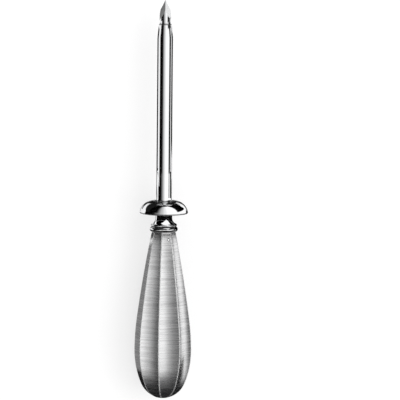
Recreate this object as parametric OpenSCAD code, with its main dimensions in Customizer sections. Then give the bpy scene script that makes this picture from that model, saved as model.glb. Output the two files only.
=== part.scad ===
// A trocar with its cannula: a three-sided piercing stylet in a fluted hollow handle,
// and a sheath tube with a domed shield that slides off over the point.
// It lies along +Y with the point towards +Y, the handle resting on two of its ridges.

/* [Overall] */
// Length from the butt of the handle to the tip of the point
overall_l = 152.4; // [145:0.1:165]

/* [Handle] */
// Length of the hollow handle, from its butt to its mouth
handle_l = 64; // [60:0.5:68]
// Largest diameter, measured over the ridges
belly_d = 22; // [21:0.5:25]
// Distance of the largest diameter from the butt
belly_from_butt = 18.3; // [17:0.1:21]
// Radius of the round butt
butt_r = 9.1; // [8.4:0.1:9.6]
// Radius of the flank next to the belly
flank_r = 95; // [85:1:120]
// Radius of the long taper between the flank and the mouth
long_r = 500; // [400:10:900]
// Diameter of the mouth, measured over the ridges
mouth_d = 9.2; // [9:0.1:9.8]
// Number of flutes round the handle
flute_count = 8; // [6:2:10]
// Radius of the hollow of each flute
flute_r = 14; // [11:0.5:24]
// Wall of the two handle shells
shell_t = 1; // [0.8:0.05:1.1]

/* [Neck] */
// Height of the bead ring
bead_h = 2; // [1.6:0.1:2.4]
// Diameter over the bead ring
bead_d = 10.7; // [10.4:0.1:11.4]
// Height of the bolster between the bead ring and its seat
bolster_h = 6.8; // [6:0.1:8]
// Diameter of the rim at the bolster's foot
rim_d = 10; // [9.4:0.1:10.4]
// Height of that rim
rim_h = 1.1; // [0.8:0.1:1.4]
// Diameter of the bolster's waist
waist_d = 6.4; // [5.8:0.1:6.8]
// Radius of the hollow between the waist and the rim
waist_hollow_r = 2.5; // [2:0.1:3]
// Length of the spigot inside the handle
spigot_l = 12; // [8:0.5:16]

/* [Shield] */
// Diameter of the shield at the widest line of its rim
shield_d = 18.3; // [17:0.1:20]
// Height of the shield from that widest line to its flat top
shield_h = 4.4; // [4:0.1:5]
// Wall of the shield
shield_t = 0.9; // [0.7:0.05:1.2]
// Diameter of the hub that the tube is soldered in
hub_d = 8.1; // [7.8:0.1:9]
// Height of that hub
hub_h = 3.05; // [2:0.05:3.5]
// Radius of the solder fillet round the tube, on top of the shield
solder_r = 0.5; // [0.3:0.1:0.8]

/* [Cannula] */
// Outside diameter of the tube
cannula_d = 5.9; // [5.6:0.1:6.2]
// Bore of the tube
cannula_bore_d = 4.4; // [4:0.1:4.6]
// Diameter of the tube's root, turned down to fit the hub of the shield
root_d = 5.5; // [5.2:0.05:5.7]
// Length of the taper at the mouth of the tube
taper_l = 6; // [4:0.5:8]
// Diameter at the end of that taper
taper_d = 5; // [4.9:0.05:5.2]

/* [Stylet] */
// Length of the stylet that shows beyond the cannula
point_out = 9.3; // [8:0.1:12]
// Length of the three ground faces of the point, along the axis
face_l = 6.9; // [6:0.1:8]
// Radius of the wheel that hollows the three faces
wheel_r = 50; // [40:5:300]
// Turn of one ridge of the point away from straight up
point_turn = -14.5; // [-60:0.5:60]
// Depth of the socket for the rod in the bolster
socket_l = 5; // [3:0.5:6]
// Diameter of the tang in the handle
tang_d = 3; // [2.4:0.1:3.4]
// Length of the tang past the end of the spigot
tang_out = 1; // [0.5:0.1:3]

/* [Cross pin] */
// Diameter of the pin through the handle and the tang
pin_d = 1.2; // [1:0.05:1.4]
// Distance of the pin from the mouth of the handle
pin_from_mouth = 2.7; // [2:0.1:4]
// Turn of the pin away from straight up
pin_turn = 9.5; // [0:0.5:15]
// Height of the rounded ends of the pin
pin_round = 0.2; // [0.1:0.05:0.4]

/* [Clearances] */
// Gap between the stylet and the bore of the cannula, on the radius
slide_gap = 0.05; // [0.02:0.01:0.09]
// Gap between pieces that are brazed or pinned together, on the radius
fit_gap = 0.02; // [0.01:0.01:0.04]

/* [Hidden] */
$fn = 96;

// Stations along the axis, measured from the butt
bead_top = handle_l + bead_h;
seat = bead_top + bolster_h;
shield_top = seat + hub_h;
cannula_end = overall_l - point_out;
spigot_end = handle_l - spigot_l;
pin_station = handle_l - pin_from_mouth;

// Radii that mate
belly_r = belly_d / 2;
mouth_r = mouth_d / 2;
cannula_r = cannula_d / 2;
root_r = root_d / 2;
bore_r = cannula_bore_d / 2;
stylet_r = bore_r - slide_gap;
tang_r = tang_d / 2;
pin_r = pin_d / 2;

// The flutes: the ridges stand half a pitch either side of straight up and straight down
pitch = 360 / flute_count;
half_pitch = pitch / 2;
axis_height = belly_r * cos(half_pitch);
seam_turn = 1.5 * pitch;

// Colours
polished = "#d9dcdf";
satin = "#b9bdc1";
steel = "#c9cdd0";

// Length by which a cut runs past the face that it starts from
overcut = 1;

// Steps in the small rounded edges and in the larger curves of the turned pieces
edge_steps = 8;
curve_steps = 16;

// Points of an arc from angle a0 to angle a1, in n steps
function arc(centre, r, a0, a1, n) =
    [for (i = [0:n]) let (a = a0 + (a1 - a0) * i / n) centre + r * [cos(a), sin(a)]];

// The ridge line of the handle is four arcs, each tangent to the next, as [radius, station]:
// the round butt, the shoulder up to the belly, the flank, and the long taper to the mouth.
butt_c = [0, butt_r];
shoulder_r = (pow(belly_r, 2) + pow(belly_from_butt - butt_r, 2) - pow(butt_r, 2)) / (2 * (belly_r - butt_r));
shoulder_c = [belly_r - shoulder_r, belly_from_butt];
shoulder_a = atan2(butt_c[1] - shoulder_c[1], butt_c[0] - shoulder_c[0]);
flank_c = [belly_r - flank_r, belly_from_butt];
mouth_from_flank_c = [mouth_r, handle_l] - flank_c;
mouth_reach = norm(mouth_from_flank_c);
centres_apart = long_r - flank_r;
long_side_a = acos(
    (pow(centres_apart, 2) + pow(mouth_reach, 2) - pow(long_r, 2)) / (2 * centres_apart * mouth_reach)
);
flank_a = atan2(mouth_from_flank_c[1], mouth_from_flank_c[0]) + long_side_a - 180;
long_c = flank_c - centres_apart * [cos(flank_a), sin(flank_a)];

// The same line set in by t, from the butt to the mouth. Concentric arcs keep the wall even.
butt_steps = 8;
shoulder_steps = 5;
flank_steps = 4;
long_steps = 9;
function tail(points) = [for (i = [1:len(points) - 1]) points[i]];
function mouth_a(t) = asin((handle_l - long_c[1]) / (long_r - t));
function ridge_line(t) = concat(
    tail(arc(butt_c, butt_r - t, -90, shoulder_a, butt_steps)),
    tail(arc(shoulder_c, shoulder_r - t, shoulder_a, 0, shoulder_steps)),
    tail(arc(flank_c, flank_r - t, 0, flank_a, flank_steps)),
    tail(arc(long_c, long_r - t, flank_a, mouth_a(t), long_steps))
);

// One flute in cross-section, from ridge to ridge: an arc of flute_r hollowed between two ridges
// that stand at radius r. u runs from -1 to 1 across it, and turn is the turn of its middle.
function flute_depth(r, u) =
    let (half = r * sin(half_pitch))
    sqrt(flute_r * flute_r - pow(u * half, 2)) - sqrt(flute_r * flute_r - half * half);
function flute_point(r, u, turn) =
    let (across = u * r * sin(half_pitch), out = r * cos(half_pitch) - flute_depth(r, u))
    [across * cos(turn) + out * sin(turn), across * sin(turn) - out * cos(turn)];

// Radius of the fluted wall at a station on the long taper, at the middle of a flute
function long_ridge_r(station, t) = long_c[0] + sqrt(pow(long_r - t, 2) - pow(station - long_c[1], 2));
function long_flute_r(station, t) =
    let (r = long_ridge_r(station, t))
    r * cos(half_pitch) - flute_depth(r, 0);
spigot_r = long_flute_r(handle_l, shell_t) - fit_gap;

// Half of the handle, from one seam ridge to the opposite one
flute_steps = 6;
half_flutes = flute_count / 2;
function half_ring(p, first_turn) = [
    for (f = [0:half_flutes - 1])
        for (k = [(f == 0 ? 0 : 1):flute_steps])
            let (q = flute_point(p[0], 2 * k / flute_steps - 1, first_turn + f * pitch))
            [q[0], q[1], p[1]]
];

// A closed shell between an outer and an inner skin. Both skins have the same rings and columns.
module half_shell(first_turn) {
    outer = ridge_line(0);
    inner = ridge_line(shell_t);
    rings = len(outer);
    columns = half_flutes * flute_steps + 1;
    inner_start = rings * columns;
    butt_out = 2 * rings * columns;
    butt_in = butt_out + 1;
    points = concat(
        [for (p = outer) each half_ring(p, first_turn)],
        [for (p = inner) each half_ring(p, first_turn)],
        [[0, 0, 0], [0, 0, shell_t]]
    );
    outer_skin = [
        for (i = [0:rings - 2], j = [0:columns - 2])
            let (a = i * columns + j, b = a + 1, c = b + columns, d = a + columns)
            each [[a, c, b], [a, d, c]]
    ];
    inner_skin = [
        for (i = [0:rings - 2], j = [0:columns - 2])
            let (a = inner_start + i * columns + j, b = a + 1, c = b + columns, d = a + columns)
            each [[a, b, c], [a, c, d]]
    ];
    butt_caps = [
        for (j = [0:columns - 2])
            each [[butt_out, j, j + 1], [butt_in, inner_start + j + 1, inner_start + j]]
    ];
    mouth_face = [
        for (j = [0:columns - 2])
            let (a = (rings - 1) * columns + j, b = a + 1, c = inner_start + b, d = inner_start + a)
            each [[a, c, b], [a, d, c]]
    ];
    first_seam = [
        for (i = [0:rings - 2])
            let (a = i * columns, b = a + columns, c = inner_start + b, d = inner_start + a)
            each [[a, c, b], [a, d, c]]
    ];
    last_seam = [
        for (i = [0:rings - 2])
            let (a = i * columns + columns - 1, b = a + columns, c = inner_start + b, d = inner_start + a)
            each [[a, b, c], [a, c, d]]
    ];
    seam_tips = [
        [butt_out, butt_in, inner_start],
        [butt_out, inner_start, 0],
        [butt_out, columns - 1, inner_start + columns - 1],
        [butt_out, inner_start + columns - 1, butt_in]
    ];
    polyhedron(
        points = points,
        faces = concat(outer_skin, inner_skin, butt_caps, mouth_face, first_seam, last_seam, seam_tips),
        convexity = 6
    );
}

// Local pieces stand on the butt with the axis up +Z; this lays them along +Y at their height.
// A turn is measured from straight up towards +X, which is -90 degrees round the standing axis.
module lay_down() {
    translate([0, -overall_l / 2, axis_height])
        rotate([-90, 0, 0])
            children();
}

// A straight hole or pin across the handle
module across_handle(r, half_l) {
    translate([0, 0, pin_station])
        rotate([90, 0, pin_turn])
            cylinder(r = r, h = 2 * half_l, center = true);
}

module handle_half(first_turn) {
    difference() {
        half_shell(first_turn);
        across_handle(pin_r + fit_gap, belly_r);
    }
}

module handle_shell_front() {
    color(satin)
        lay_down()
            handle_half(seam_turn - 180 + half_pitch);
}

module handle_shell_back() {
    color(satin)
        lay_down()
            handle_half(seam_turn + half_pitch);
}

// A ring with a round outside that covers the mouth of the handle
module bead_ring() {
    bead_r = bead_h / 2;
    bead_c = bead_d / 2 - bead_r;
    color(polished)
        lay_down()
            rotate_extrude()
                difference() {
                    union() {
                        translate([0, handle_l])
                            square([bead_c, bead_h]);
                        translate([bead_c, handle_l + bead_r])
                            circle(r = bead_r);
                    }
                    translate([0, handle_l - overcut])
                        square([spigot_r + fit_gap, bead_h + 2 * overcut]);
                }
}

// The turned neck piece: seat, waist, hollow, rim, and a spigot down into the handle
module neck_bolster() {
    rim_r = rim_d / 2;
    waist_r = waist_d / 2;
    edge_r = rim_h / 2;
    edge_c = [rim_r - edge_r, bead_top + edge_r];
    hollow_c = [waist_r + waist_hollow_r, 0];
    hollow_a = acos((hollow_c[0] - edge_c[0]) / waist_hollow_r);
    hollow_y = bead_top + rim_h + waist_hollow_r * sin(hollow_a);
    color(polished)
        lay_down()
            difference() {
                rotate_extrude()
                    polygon(concat(
                        [[0, spigot_end], [spigot_r, spigot_end]],
                        [[spigot_r, bead_top], [edge_c[0], bead_top]],
                        tail(arc(edge_c, edge_r, -90, 90, edge_steps)),
                        tail(arc([hollow_c[0], hollow_y], waist_hollow_r, 180 + hollow_a, 180, curve_steps)),
                        [[waist_r, seat], [0, seat]]
                    ));
                translate([0, 0, seat - socket_l])
                    cylinder(r = stylet_r + fit_gap, h = socket_l + overcut);
                translate([0, 0, spigot_end - overcut])
                    cylinder(r = tang_r + fit_gap, h = seat - spigot_end);
                across_handle(pin_r + fit_gap, belly_r);
            }
}

// The domed shield, spun thin with a hub that holds the root of the tube
module shield() {
    hub_r = hub_d / 2;
    crown_w = shield_d / 2 - hub_r;
    crown_r = (pow(crown_w, 2) + pow(shield_h, 2)) / (2 * shield_h);
    crown_c = [hub_r, shield_top - crown_r];
    rim_a = asin((crown_r - shield_h) / crown_r);
    lip_c = crown_c + (crown_r - shield_t / 2) * [cos(rim_a), sin(rim_a)];
    color(polished)
        lay_down()
            rotate_extrude()
                polygon(concat(
                    [[root_r, seat], [hub_r, seat]],
                    arc(crown_c, crown_r - shield_t, 90, rim_a, curve_steps),
                    tail(arc(lip_c, shield_t / 2, rim_a - 180, rim_a, edge_steps)),
                    tail(arc(crown_c, crown_r, rim_a, 90, curve_steps)),
                    [[root_r, shield_top]]
                ));
}

// The sheath tube: its root in the hub, a solder fillet on the shield, and a mouth drawn in over the stylet
module cannula_tube() {
    drop = cannula_r - taper_d / 2;
    taper_r = (pow(taper_l, 2) + pow(drop, 2)) / (2 * drop);
    taper_c = [cannula_r - taper_r, cannula_end - taper_l];
    lip_r = (taper_d / 2 - bore_r) / 2;
    lip_c = [bore_r + lip_r, cannula_end - lip_r];
    taper_end_a = asin((lip_c[1] - taper_c[1]) / taper_r);
    fillet_c = [cannula_r + solder_r, shield_top + solder_r];
    color(polished)
        lay_down()
            difference() {
                rotate_extrude()
                    polygon(concat(
                        [[0, seat], [root_r, seat], [root_r, shield_top]],
                        arc(fillet_c, solder_r, 270, 180, edge_steps),
                        arc(taper_c, taper_r, 0, taper_end_a, curve_steps),
                        tail(arc(lip_c, lip_r, 0, 90, edge_steps)),
                        [[0, cannula_end]]
                    ));
                translate([0, 0, seat - overcut])
                    cylinder(r = bore_r, h = cannula_end);
            }
}

// One ground face of the point, as the wheel that cuts it: the wheel's edge passes through
// the tip and through the end of the face on the rod.
module grinding_wheel() {
    wheel_w = 4 * stylet_r;
    face_end = [stylet_r, -face_l];
    across = [face_l, stylet_r] / norm(face_end);
    wheel_c = face_end / 2 + sqrt(pow(wheel_r, 2) - face_end * face_end / 4) * across;
    translate([0, -wheel_c[0], overall_l + wheel_c[1]])
        rotate([0, 90, 0])
            cylinder(r = wheel_r, h = wheel_w, center = true, $fn = 360);
}

// The piercing rod: a three-sided hollow-ground point, the rod, and the tang in the handle
module stylet() {
    color(steel)
        lay_down()
            difference() {
                union() {
                    translate([0, 0, seat - socket_l])
                        cylinder(r = stylet_r, h = overall_l - seat + socket_l);
                    translate([0, 0, spigot_end - tang_out])
                        cylinder(r = tang_r, h = seat - spigot_end);
                }
                for (i = [0:2])
                    rotate([0, 0, point_turn + 60 + 120 * i])
                        grinding_wheel();
                across_handle(pin_r + fit_gap, belly_r);
            }
}

// The pin that locks the tang, the spigot and both shells
module cross_pin() {
    pin_half = long_flute_r(pin_station, 0);
    color(steel)
        lay_down()
            intersection() {
                across_handle(pin_r, pin_half + pin_round);
                translate([0, 0, pin_station])
                    sphere(r = pin_half + pin_round);
            }
}

stylet();
cannula_tube();
shield();
neck_bolster();
bead_ring();
handle_shell_front();
handle_shell_back();
cross_pin();
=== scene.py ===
"""Dresses the trocar: turned, fluted and ground pieces take the place of the plain solids.

The instrument lies along +Y with its point towards +Y. A station is a distance along its axis
from the butt of the handle, a turn is measured round the axis from straight up towards +X, and
radii and stations are in millimetres until a piece is made.
"""

import logging
import math
from dataclasses import dataclass
from enum import Enum
from typing import Iterable, Union

import bmesh
import bpy
from mathutils import Matrix, Vector


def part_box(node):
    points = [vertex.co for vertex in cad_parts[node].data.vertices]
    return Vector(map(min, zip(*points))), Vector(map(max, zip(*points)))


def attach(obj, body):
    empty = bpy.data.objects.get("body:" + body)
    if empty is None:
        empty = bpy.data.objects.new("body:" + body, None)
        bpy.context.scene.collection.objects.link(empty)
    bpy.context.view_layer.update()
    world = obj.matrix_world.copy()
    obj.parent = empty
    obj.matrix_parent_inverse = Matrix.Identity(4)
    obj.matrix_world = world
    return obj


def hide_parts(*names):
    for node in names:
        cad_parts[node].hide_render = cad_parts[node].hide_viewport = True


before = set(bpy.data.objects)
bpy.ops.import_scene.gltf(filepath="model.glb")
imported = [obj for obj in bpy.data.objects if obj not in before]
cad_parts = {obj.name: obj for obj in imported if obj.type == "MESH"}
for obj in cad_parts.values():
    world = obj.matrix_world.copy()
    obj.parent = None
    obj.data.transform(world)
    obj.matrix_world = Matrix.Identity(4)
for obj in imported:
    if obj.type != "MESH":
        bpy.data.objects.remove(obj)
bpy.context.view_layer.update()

LOG = logging.getLogger("trocar")

MM = 0.001
AXIS = Vector((0.0, 1.0, 0.0))

# How near points count as one, in metres, and to how many digits of a metre faces are level.
MERGE_WITHIN = 1e-7
CUT_WITHIN = 1e-6
LEVEL_DIGITS = 7

# The radius inside which a point is on the axis and the shortest edge along a ridge, in millimetres.
ON_AXIS = 1e-4
SHORTEST_EDGE = 0.05

# Steps round a turned piece, and in the small arc that breaks one of its edges.
ROUND_STEPS = 192
EDGE_STEPS = 5

# The brightness of a dark card, and how far above the floor a lying card is, in millimetres.
DARK = 0.012
CARD_Z = 0.4

NUMBER = "NodeSocketFloat"
VECTOR = "NodeSocketVector"

Pair = tuple[float, float]
Place = tuple[float, float]
Corner = tuple[float, float, float]
Colour = tuple[float, float, float]
Pairs = tuple[Pair, ...]
Feed = Union[float, tuple, Vector, bpy.types.NodeSocket]


class Body(Enum):
    """The two bodies that pieces ride on."""

    HANDLE = "handle"
    CANNULA = "cannula"


class Slot(Enum):
    """The record's material slots."""

    POLISHED = "polished"
    HANDLE_SATIN = "handle_satin"
    STEEL = "steel"


def outwards(turn: float, lean: float = 0.0) -> Vector:
    """The direction away from the axis at a turn, leaning towards the point.

    Args:
        turn: Degrees round the axis.
        lean: Degrees towards the point.

    Returns:
        The direction, one long.
    """
    a, b = math.radians(turn), math.radians(lean)
    return Vector((math.sin(a) * math.cos(b), math.sin(b), math.cos(a) * math.cos(b)))


@dataclass(frozen=True)
class Stations:
    """Where the pieces stand along the axis, read from the frame."""

    butt_y: float
    axis_height: float
    mouth: float
    bead_top: float
    spigot_end: float
    seat: float
    shield_top: float
    cannula_end: float
    tang_end: float
    tip: float

    @classmethod
    def from_frame(cls) -> "Stations":
        """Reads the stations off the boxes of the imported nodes.

        Returns:
            The stations in millimetres, with the place of the axis in metres.
        """
        butt_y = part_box("handle_shell_front")[0].y
        bolster_low, bolster_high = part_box("neck_bolster")

        def low(node: str) -> float:
            """The station of a node's end nearest the butt."""
            return (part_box(node)[0].y - butt_y) / MM

        def high(node: str) -> float:
            """The station of a node's end nearest the point."""
            return (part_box(node)[1].y - butt_y) / MM

        return cls(
            butt_y=butt_y,
            axis_height=(bolster_low.z + bolster_high.z) / 2,
            mouth=high("handle_shell_front"),
            bead_top=high("bead_ring"),
            spigot_end=low("neck_bolster"),
            seat=high("neck_bolster"),
            shield_top=high("shield"),
            cannula_end=high("cannula_tube"),
            tang_end=low("stylet"),
            tip=high("stylet"),
        )

    def place(self, radius: float, station: float, turn: float = 0.0) -> Vector:
        """A point in the row frame.

        Args:
            radius: Distance from the axis.
            station: Distance from the butt.
            turn: Degrees round the axis.

        Returns:
            The point in metres.
        """
        angle = math.radians(turn)
        return Vector((
            radius * MM * math.sin(angle),
            self.butt_y + station * MM,
            self.axis_height + radius * MM * math.cos(angle),
        ))

    def read(self, point: Vector) -> tuple[float, float, float]:
        """The radius, station and turn of a point, in millimetres and degrees."""
        across, up = point.x / MM, (point.z - self.axis_height) / MM
        return math.hypot(across, up), (point.y - self.butt_y) / MM, math.degrees(math.atan2(across, up))


AT = Stations.from_frame()


def polar(centre: Place, radius: float, angle: float) -> Place:
    """A place on a circle in the plane of radius and station.

    Args:
        centre: The circle's centre, as radius and station.
        radius: The circle's radius.
        angle: Degrees from straight out towards the point of the instrument.

    Returns:
        The place as radius and station.
    """
    a = math.radians(angle)
    return centre[0] + radius * math.cos(a), centre[1] + radius * math.sin(a)


def bearing(centre: Place, place: Place) -> float:
    """The angle of a place seen from a centre, in degrees from straight out."""
    return math.degrees(math.atan2(place[1] - centre[1], place[0] - centre[0]))


def square_to(back: Vector, roll: float = 0.0) -> tuple[Vector, Vector]:
    """How a lamp or camera stands, with the instrument's axis upright in its view.

    Args:
        back: The direction from what it faces to it.
        roll: Degrees that it is rolled.

    Returns:
        The directions across it and up it.
    """
    level = AXIS.cross(back).normalized()
    upright = back.cross(level)
    a = math.radians(roll)
    return level * math.cos(a) + upright * math.sin(a), upright * math.cos(a) - level * math.sin(a)


def stand(item: bpy.types.Object, spot: Vector, across: Vector, up: Vector, back: Vector) -> None:
    """Stands a lamp or camera in the scene.

    Args:
        item: The lamp or camera.
        spot: Its place in metres.
        across: Where its X axis points.
        up: Where its Y axis points.
        back: Where its Z axis points, away from what it faces.
    """
    bpy.context.scene.collection.objects.link(item)
    item.matrix_world = Matrix.Translation(spot) @ Matrix((across, up, back)).transposed().to_4x4()


def deselect_all() -> None:
    """Leaves edit mode and clears the selection."""
    if bpy.context.mode != "OBJECT":
        bpy.ops.object.mode_set(mode="OBJECT")
    bpy.ops.object.select_all(action="DESELECT")


def make_active(piece: bpy.types.Object) -> None:
    """Selects one object and nothing else.

    Args:
        piece: The object.
    """
    deselect_all()
    piece.select_set(True)
    bpy.context.view_layer.objects.active = piece


def name_piece(piece: bpy.types.Object, name: str) -> None:
    """Gives an object and its mesh the same name."""
    piece.name = name
    piece.data.name = name


def smooth(piece: bpy.types.Object, angle: float) -> None:
    """Shades a piece smooth and keeps the edges above an angle in degrees sharp."""
    make_active(piece)
    bpy.ops.object.shade_smooth_by_angle(angle=math.radians(angle))


def dress(piece: bpy.types.Object, *materials: bpy.types.Material) -> None:
    """Gives a piece its materials in place of any that it has.

    Args:
        piece: The piece.
        materials: The materials, in the order of its slots.
    """
    piece.data.materials.clear()
    for material in materials:
        piece.data.materials.append(material)


def cut_away(piece: bpy.types.Object, tool: bpy.types.Object) -> None:
    """Cuts a tool's shape out of a piece, then throws the tool away.

    Args:
        piece: The piece.
        tool: The closed shape that is cut out of it.
    """
    make_active(piece)
    cut = piece.modifiers.new("cut", "BOOLEAN")
    cut.operation = "DIFFERENCE"
    cut.solver = "EXACT"
    cut.object = tool
    bpy.ops.object.modifier_apply(modifier=cut.name)
    bpy.data.objects.remove(tool)


def rod(
    name: str, radius: float, length: float, centre: Vector, along: Vector, sides: int
) -> bpy.types.Object:
    """A round bar for a tool or a pin.

    Args:
        name: Its name.
        radius: Its radius in millimetres.
        length: Its length in millimetres.
        centre: Its middle in metres.
        along: The direction of its axis.
        sides: Sides round it.

    Returns:
        The bar, with its place in its mesh.
    """
    deselect_all()
    bpy.ops.mesh.primitive_cylinder_add(
        vertices=sides,
        radius=radius * MM,
        depth=length * MM,
        location=centre,
        rotation=Vector((0.0, 0.0, 1.0)).rotation_difference(along).to_euler(),
    )
    bar = bpy.context.object
    name_piece(bar, name)
    bpy.ops.object.transform_apply(location=True, rotation=True, scale=True)
    return bar


class Profile:
    """An outline drawn point by point in a plane through the axis, then turned round it."""

    def __init__(self, name: str, start: Place, turn: float = 0.0) -> None:
        """Puts down the first point.

        Args:
            name: The piece's name.
            start: The first point, as radius and station.
            turn: The plane's turn round the axis.
        """
        deselect_all()
        self.turn = turn
        self.last = start
        bpy.ops.mesh.primitive_plane_add(size=MM, location=AT.place(*start, turn))
        self.piece = bpy.context.object
        name_piece(self.piece, name)
        bpy.ops.object.transform_apply(location=True, rotation=False, scale=False)
        bpy.ops.object.mode_set(mode="EDIT")
        bpy.ops.mesh.select_mode(type="VERT")
        bpy.ops.mesh.merge(type="CENTER")

    def line_to(self, *places: Place) -> "Profile":
        """Draws straight lines to one place after another.

        Args:
            places: Each line's end, as radius and station.

        Returns:
            The profile, for the next stroke.
        """
        for place in places:
            step = AT.place(*place, self.turn) - AT.place(*self.last, self.turn)
            bpy.ops.mesh.extrude_region_move(TRANSFORM_OT_translate={"value": step})
            self.last = place
        return self

    def arc(self, centre: Place, sweep: float, steps: int) -> "Profile":
        """Carries the line round an arc.

        Args:
            centre: The arc's centre, as radius and station.
            sweep: Degrees to go, positive from straight out towards the point.
            steps: Steps in the arc.

        Returns:
            The profile, for the next stroke.
        """
        bpy.ops.mesh.spin(
            steps=steps,
            angle=math.radians(sweep),
            center=AT.place(*centre, self.turn),
            axis=outwards(self.turn + 90),
        )
        reach = math.dist(centre, self.last)
        self.last = polar(centre, reach, bearing(centre, self.last) + sweep)
        return self

    def close(self) -> "Profile":
        """Joins the last point to the first.

        Returns:
            The profile, closed.
        """
        outline = bmesh.from_edit_mesh(self.piece.data)
        for vertex in outline.verts:
            vertex.select_set(len(vertex.link_edges) == 1)
        outline.select_flush_mode()
        bmesh.update_edit_mesh(self.piece.data)
        bpy.ops.mesh.edge_face_add()
        return self

    def turned(self, steps: int = ROUND_STEPS) -> bpy.types.Object:
        """Turns the outline once round the axis into a closed skin.

        Args:
            steps: Steps round the turn.

        Returns:
            The piece, in object mode, with its faces outwards.
        """
        bpy.ops.mesh.select_all(action="SELECT")
        bpy.ops.mesh.spin(steps=steps, angle=math.tau, center=AT.place(0.0, 0.0), axis=AXIS)
        bpy.ops.mesh.select_all(action="SELECT")
        bpy.ops.mesh.remove_doubles(threshold=MERGE_WITHIN)
        bpy.ops.mesh.normals_make_consistent(inside=False)
        bpy.ops.object.mode_set(mode="OBJECT")
        return self.piece


@dataclass(frozen=True)
class Made:
    """A finished piece, the body it rides on, its slot and the solid it replaces."""

    piece: bpy.types.Object
    body: Body
    slot: Slot
    node: str


class Bench:
    """Lays out the nodes of one material, group or world, and wires them."""

    def __init__(self, tree: bpy.types.NodeTree) -> None:
        """Takes over a node tree and clears it."""
        self.tree = tree
        tree.nodes.clear()

    def add(self, kind: str, **settings: object) -> bpy.types.Node:
        """Adds a node.

        Args:
            kind: Its type.
            settings: Values of its properties.

        Returns:
            The node.
        """
        node = self.tree.nodes.new(kind)
        for name, value in settings.items():
            setattr(node, name, value)
        return node

    def feed(self, socket: bpy.types.NodeSocket, value: Feed) -> None:
        """Gives an input what it works on.

        Args:
            socket: The input.
            value: An output that is wired to it, or a plain value.
        """
        if isinstance(value, bpy.types.NodeSocket):
            self.tree.links.new(value, socket)
        else:
            socket.default_value = value

    def result(self, kind: str, values: Iterable[Feed], **settings: object) -> bpy.types.NodeSocket:
        """Adds a node and feeds its inputs.

        Args:
            kind: Its type.
            values: What its inputs are fed, from the first on.
            settings: Values of its properties.

        Returns:
            Its first output.
        """
        node = self.add(kind, **settings)
        for socket, value in zip(node.inputs, values):
            self.feed(socket, value)
        return node.outputs[0]

    def math(self, operation: str, *values: Feed, clamp: bool = False) -> bpy.types.NodeSocket:
        """Does one step of arithmetic.

        Args:
            operation: The Math node's operation.
            values: The numbers that it takes.
            clamp: Whether the result is kept from 0 to 1.

        Returns:
            The result.
        """
        return self.result("ShaderNodeMath", values, operation=operation, use_clamp=clamp)

    def stretch(self, vector: Feed, by: Feed) -> bpy.types.NodeSocket:
        """A vector multiplied by another, number by number."""
        return self.result("ShaderNodeVectorMath", (vector, by), operation="MULTIPLY")

    def combine(self, x: Feed, y: Feed, z: Feed) -> bpy.types.NodeSocket:
        """A vector put together from three numbers."""
        return self.result("ShaderNodeCombineXYZ", (x, y, z))

    def split(self, vector: Feed) -> tuple[bpy.types.NodeSocket, ...]:
        """Takes a vector apart.

        Args:
            vector: The vector.

        Returns:
            Its three numbers.
        """
        parts = self.add("ShaderNodeSeparateXYZ")
        self.feed(parts.inputs[0], vector)
        return tuple(parts.outputs)

    def turn_at(self, across: Feed, up: Feed) -> bpy.types.NodeSocket:
        """The turn, in degrees, of a place across and up from the axis."""
        return self.math("DEGREES", self.math("ARCTAN2", across, up))

    def span(self, value: Feed, low: float, high: float, to: Pair = (0.0, 1.0)) -> bpy.types.NodeSocket:
        """A value carried smoothly from one range to another and held at its ends.

        Args:
            value: The value.
            low: Where it starts to change.
            high: Where it ends.
            to: What it is at the two ends.

        Returns:
            The new value.
        """
        values = (value, low, high, *to)
        return self.result("ShaderNodeMapRange", values, interpolation_type="SMOOTHSTEP")

    def strongest(self, first: Feed, *others: Feed) -> Feed:
        """Picks the largest of several numbers.

        Args:
            first: One number.
            others: The others.

        Returns:
            The largest.
        """
        for other in others:
            first = self.math("MAXIMUM", first, other)
        return first

    def blend(self, share: Feed, first: Feed, second: Feed) -> bpy.types.NodeSocket:
        """Mixes two colours.

        Args:
            share: The share of the second.
            first: One colour.
            second: The other.

        Returns:
            The mixed colour.
        """
        node = self.add("ShaderNodeMix", data_type="RGBA", blend_type="MIX")
        factor, colour_a, colour_b = (node.inputs[place] for place in (0, 6, 7))
        self.feed(factor, share)
        for socket, colour in ((colour_a, first), (colour_b, second)):
            self.feed(socket, (*colour, 1.0) if isinstance(colour, tuple) else colour)
        return node.outputs[2]

    def mix_shaders(self, share: Feed, first: Feed, second: Feed) -> bpy.types.NodeSocket:
        """Two shaders mixed by the share of the second."""
        return self.result("ShaderNodeMixShader", (share, first, second))

    def noise(self, vector: Feed, scale: float, detail: float, rough: float) -> bpy.types.NodeSocket:
        """A cloudy pattern.

        Args:
            vector: Where it is read.
            scale: How many of its clouds go into one unit.
            detail: How often finer clouds are laid over it.
            rough: How strong the finer clouds are.

        Returns:
            Its value, from 0 to 1.
        """
        node = self.add("ShaderNodeTexNoise")
        for name, value in (("Vector", vector), ("Scale", scale), ("Detail", detail), ("Roughness", rough)):
            self.feed(node.inputs[name], value)
        return node.outputs[0]

    def paint_round(self, turn: Feed, tones: Pairs) -> bpy.types.NodeSocket:
        """Grey tones laid round the axis, each going softly over into the next.

        Args:
            turn: The turn in degrees, from -180 to 180.
            tones: Each tone as its turn and its brightness.

        Returns:
            The grey at the turn.
        """
        node = self.add("ShaderNodeValToRGB")
        ramp = node.color_ramp
        ramp.interpolation = "EASE"
        while len(ramp.elements) < len(tones):
            ramp.elements.new(0.5)
        for element, (place, tone) in zip(ramp.elements, sorted(tones)):
            element.position = place / 360 + 0.5
            element.color = (tone, tone, tone, 1.0)
        self.feed(node.inputs[0], self.math("MULTIPLY_ADD", turn, 1 / 360, 0.5))
        return node.outputs[0]

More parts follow.
